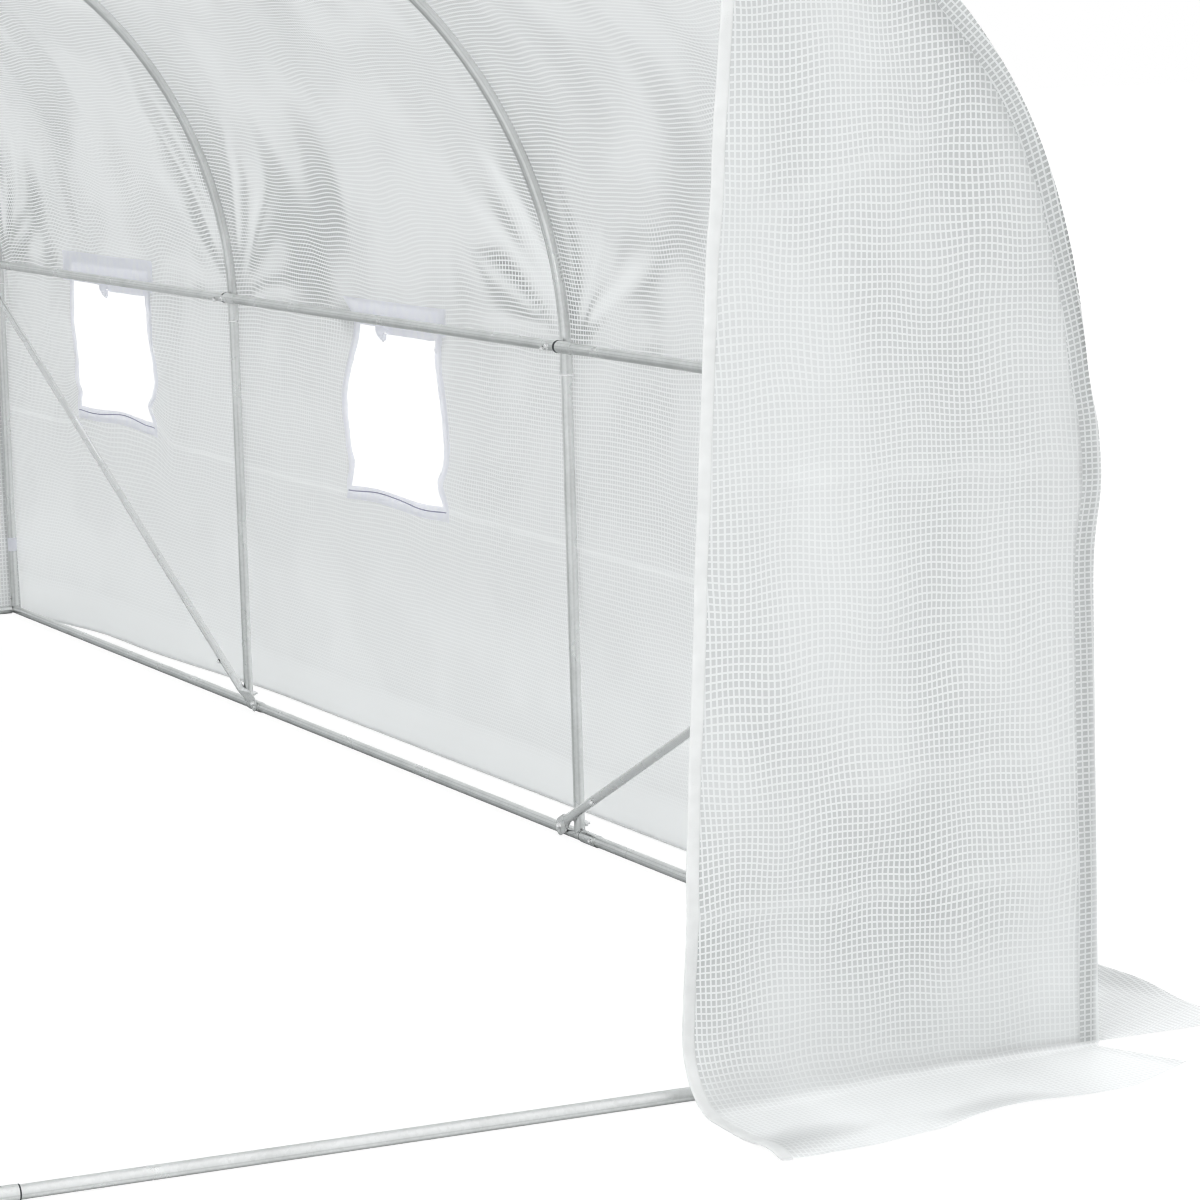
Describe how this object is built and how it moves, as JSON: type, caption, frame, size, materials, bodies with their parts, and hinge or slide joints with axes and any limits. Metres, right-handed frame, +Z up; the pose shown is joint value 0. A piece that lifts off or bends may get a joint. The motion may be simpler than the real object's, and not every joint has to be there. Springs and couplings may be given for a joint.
{
  "type": "polytunnel greenhouse",
  "caption": "Walk-in tunnel greenhouse: round steel tube hoops on ground rails under a reinforced film cover with windows, an open doorway and ground skirts.",
  "frame": {"origin": "on the ground, under the middle of the tunnel with its skirts", "axes": "+X to the right seen from the doorway, +Y back along the tunnel, +Z up"},
  "size_m": [3.1, 6.47, 2.0228],
  "materials": {
    "galvanised_tube": "galvanised, satin",
    "film": "translucent reinforced film, satin",
    "binding": "white webbing, matt"
  },
  "bodies": {
    "root": {"front_arch": "galvanised_tube", "second_arch": "galvanised_tube", "third_arch": "galvanised_tube", "back_arch": "galvanised_tube", "right_front_leg": "galvanised_tube", "right_second_leg": "galvanised_tube", "right_third_leg": "galvanised_tube", "right_back_leg": "galvanised_tube", "left_front_leg": "galvanised_tube", "left_second_leg": "galvanised_tube", "left_third_leg": "galvanised_tube", "left_back_leg": "galvanised_tube", "right_purlin": "galvanised_tube", "left_purlin": "galvanised_tube", "ridge_purlin": "galvanised_tube", "right_ground_rail": "galvanised_tube", "left_ground_rail": "galvanised_tube", "front_ground_rail": "galvanised_tube", "back_ground_rail": "galvanised_tube", "right_front_brace": "galvanised_tube", "right_back_brace": "galvanised_tube", "left_front_brace": "galvanised_tube", "left_back_brace": "galvanised_tube", "right_roof_cover": "film", "crown_cover": "film", "left_roof_cover": "film", "right_wall_strip": "film", "left_wall_strip": "film", "right_window_wall": "film", "left_window_wall": "film", "right_lower_wall": "film", "left_lower_wall": "film", "right_window_bindings": "binding", "left_window_bindings": "binding", "right_window_flaps": "film", "left_window_flaps": "film", "front_right_panel": "film", "front_left_panel": "film", "front_header": "film", "rolled_door": "film", "back_panel": "film", "right_skirt": "film", "left_skirt": "film", "front_right_skirt": "film", "front_left_skirt": "film", "back_skirt": "film"}
  },
  "joints": []
}
